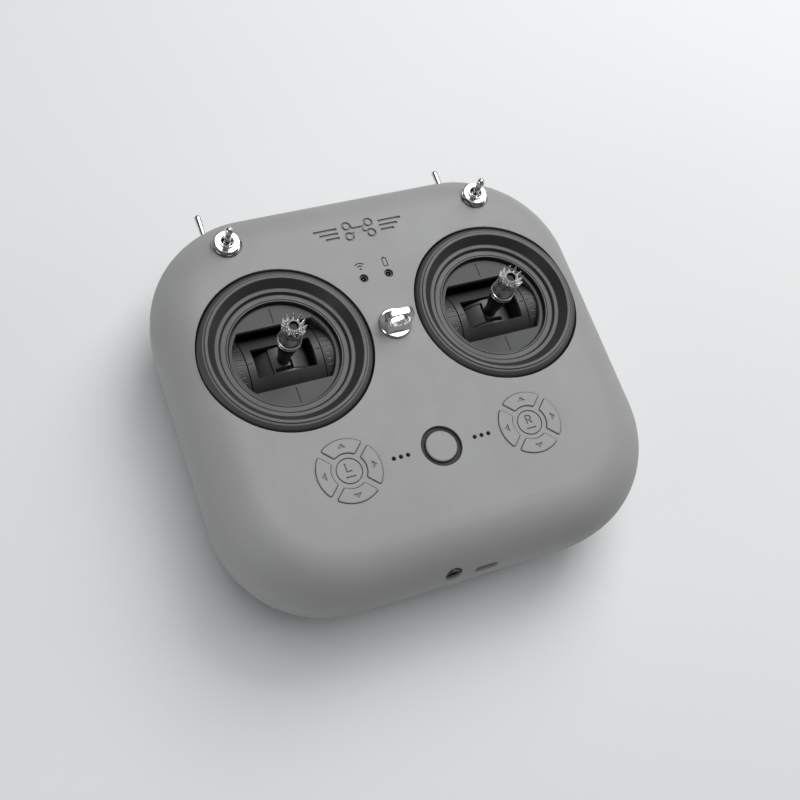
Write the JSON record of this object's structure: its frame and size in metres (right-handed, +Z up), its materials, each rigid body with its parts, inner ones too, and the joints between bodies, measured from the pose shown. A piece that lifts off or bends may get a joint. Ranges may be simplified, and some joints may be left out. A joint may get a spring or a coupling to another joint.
{
  "type": "radio transmitter controller",
  "caption": "Hand-held radio control transmitter with two stick gimbals, toggle switches, trim keys, power button and neck strap hook.",
  "frame": {"origin": "on the flat underside, midway between the two sticks", "axes": "+X across to the right, +Y away from the player, +Z up out of the face"},
  "size_m": [0.1484, 0.1484, 0.0618],
  "materials": {
    "case_shell": "fine moulded texture, soft-touch grey",
    "bezel_plastic": "matte dark grey",
    "plate_plastic": "matte mid grey",
    "gimbal_plastic": "matte charcoal",
    "key_plastic": "fine moulded texture",
    "bright_metal": "bright plated",
    "dark_metal": "dark anodised",
    "steel": "zinc plated",
    "spring_steel": "drawn wire",
    "bronze": "sintered",
    "black_plastic": "moulded black",
    "light_guide": "smoked translucent",
    "lamp_lens": "clear diffuse",
    "circuit_board": "solder mask",
    "cell_wrap": "shrink sleeve"
  },
  "bodies": {
    "case": {"antenna": "circuit_board", "audio_jack": "black_plastic", "battery_bracket": "black_plastic", "battery_cell": "cell_wrap", "board_screws": "steel", "bottom_case": "case_shell", "buzzer": "black_plastic", "case_screws": "steel", "gimbal_screws": "steel", "hook_screw": "steel", "led_holders": "black_plastic", "left_bezel": "bezel_plastic", "left_face_plate": "plate_plastic", "left_face_switch_body": "black_plastic", "left_gimbal_frame": "gimbal_plastic", "left_rear_switch_body": "black_plastic", "left_throttle_strip": "spring_steel", "main_board": "circuit_board", "neck_strap_hook": "bright_metal", "pitch_bearings": "bronze", "pitch_sensors": "circuit_board", "power_light_ring": "light_guide", "radio_module": "circuit_board", "right_bezel": "bezel_plastic", "right_face_plate": "plate_plastic", "right_face_switch_body": "black_plastic", "right_gimbal_frame": "gimbal_plastic", "right_pitch_spring": "spring_steel", "right_rear_switch_body": "black_plastic", "status_leds": "lamp_lens", "tact_switches": "black_plastic", "toggle_nuts": "bright_metal", "toggle_washers": "bright_metal", "top_case": "case_shell", "usb_port": "steel"},
    "left_pitch_gimbal": {"left_pitch_drum": "gimbal_plastic", "left_roll_spring": "spring_steel"},
    "left_stick": {"left_roll_hub": "gimbal_plastic", "left_stick_shaft": "dark_metal", "left_stick_lock_ring": "dark_metal", "left_stick_crown": "bright_metal"},
    "left_face_toggle": {"left_face_lever": "bright_metal"},
    "left_rear_toggle": {"left_rear_lever": "bright_metal"},
    "left_trim_up_key": {"left_trim_up": "key_plastic"},
    "left_trim_left_key": {"left_trim_left": "key_plastic"},
    "left_trim_down_key": {"left_trim_down": "key_plastic"},
    "left_trim_right_key": {"left_trim_right": "key_plastic"},
    "right_pitch_gimbal": {"right_pitch_drum": "gimbal_plastic", "right_roll_spring": "spring_steel"},
    "right_stick": {"right_roll_hub": "gimbal_plastic", "right_stick_shaft": "dark_metal", "right_stick_lock_ring": "dark_metal", "right_stick_crown": "bright_metal"},
    "right_face_toggle": {"right_face_lever": "bright_metal"},
    "right_rear_toggle": {"right_rear_lever": "bright_metal"},
    "right_trim_up_key": {"right_trim_up": "key_plastic"},
    "right_trim_left_key": {"right_trim_left": "key_plastic"},
    "right_trim_down_key": {"right_trim_down": "key_plastic"},
    "right_trim_right_key": {"right_trim_right": "key_plastic"},
    "power_key": {"power_button": "key_plastic"}
  },
  "joints": [
    {"name": "left_stick_fore_aft", "type": "hinge", "parent": "case", "child": "left_pitch_gimbal", "pos_m": [-0.037, 0, 0.0271], "axis": [1, 0, 0], "range_deg": [-25, 25]},
    {"name": "left_stick_side", "type": "hinge", "parent": "left_pitch_gimbal", "child": "left_stick", "pos_m": [-0.037, 0, 0.0271], "axis": [0, 1, 0], "range_deg": [-25, 25], "stiffness_Nm_per_rad": 0.03},
    {"name": "left_face_toggle_tilt", "type": "hinge", "parent": "case", "child": "left_face_toggle", "pos_m": [-0.0444, 0.04, 0.0453], "axis": [1, 0, 0], "range_deg": [-12, 12]},
    {"name": "left_rear_toggle_tilt", "type": "hinge", "parent": "case", "child": "left_rear_toggle", "pos_m": [-0.0451, 0.0539, 0.0216], "axis": [1, 0, 0], "range_deg": [-12, 12]},
    {"name": "left_trim_up_press", "type": "slide", "parent": "case", "child": "left_trim_up_key", "axis": [0, 0, -1], "range_m": [0, 0.0004], "stiffness_N_per_m": 800},
    {"name": "left_trim_left_press", "type": "slide", "parent": "case", "child": "left_trim_left_key", "axis": [0, 0, -1], "range_m": [0, 0.0004], "stiffness_N_per_m": 800},
    {"name": "left_trim_down_press", "type": "slide", "parent": "case", "child": "left_trim_down_key", "axis": [0, 0, -1], "range_m": [0, 0.0004], "stiffness_N_per_m": 800},
    {"name": "left_trim_right_press", "type": "slide", "parent": "case", "child": "left_trim_right_key", "axis": [0, 0, -1], "range_m": [0, 0.0004], "stiffness_N_per_m": 800},
    {"name": "right_stick_fore_aft", "type": "hinge", "parent": "case", "child": "right_pitch_gimbal", "pos_m": [0.037, 0, 0.0271], "axis": [1, 0, 0], "range_deg": [-25, 25], "stiffness_Nm_per_rad": 0.03},
    {"name": "right_stick_side", "type": "hinge", "parent": "right_pitch_gimbal", "child": "right_stick", "pos_m": [0.037, 0, 0.0271], "axis": [0, 1, 0], "range_deg": [-25, 25], "stiffness_Nm_per_rad": 0.03},
    {"name": "right_face_toggle_tilt", "type": "hinge", "parent": "case", "child": "right_face_toggle", "pos_m": [0.0444, 0.04, 0.0453], "axis": [1, 0, 0], "range_deg": [-12, 12]},
    {"name": "right_rear_toggle_tilt", "type": "hinge", "parent": "case", "child": "right_rear_toggle", "pos_m": [0.0451, 0.0539, 0.0216], "axis": [1, 0, 0], "range_deg": [-12, 12]},
    {"name": "right_trim_up_press", "type": "slide", "parent": "case", "child": "right_trim_up_key", "axis": [0, 0, -1], "range_m": [0, 0.0004], "stiffness_N_per_m": 800},
    {"name": "right_trim_left_press", "type": "slide", "parent": "case", "child": "right_trim_left_key", "axis": [0, 0, -1], "range_m": [0, 0.0004], "stiffness_N_per_m": 800},
    {"name": "right_trim_down_press", "type": "slide", "parent": "case", "child": "right_trim_down_key", "axis": [0, 0, -1], "range_m": [0, 0.0004], "stiffness_N_per_m": 800},
    {"name": "right_trim_right_press", "type": "slide", "parent": "case", "child": "right_trim_right_key", "axis": [0, 0, -1], "range_m": [0, 0.0004], "stiffness_N_per_m": 800},
    {"name": "power_press", "type": "slide", "parent": "case", "child": "power_key", "axis": [0, 0, -1], "range_m": [0, 0.0006], "stiffness_N_per_m": 800}
  ]
}
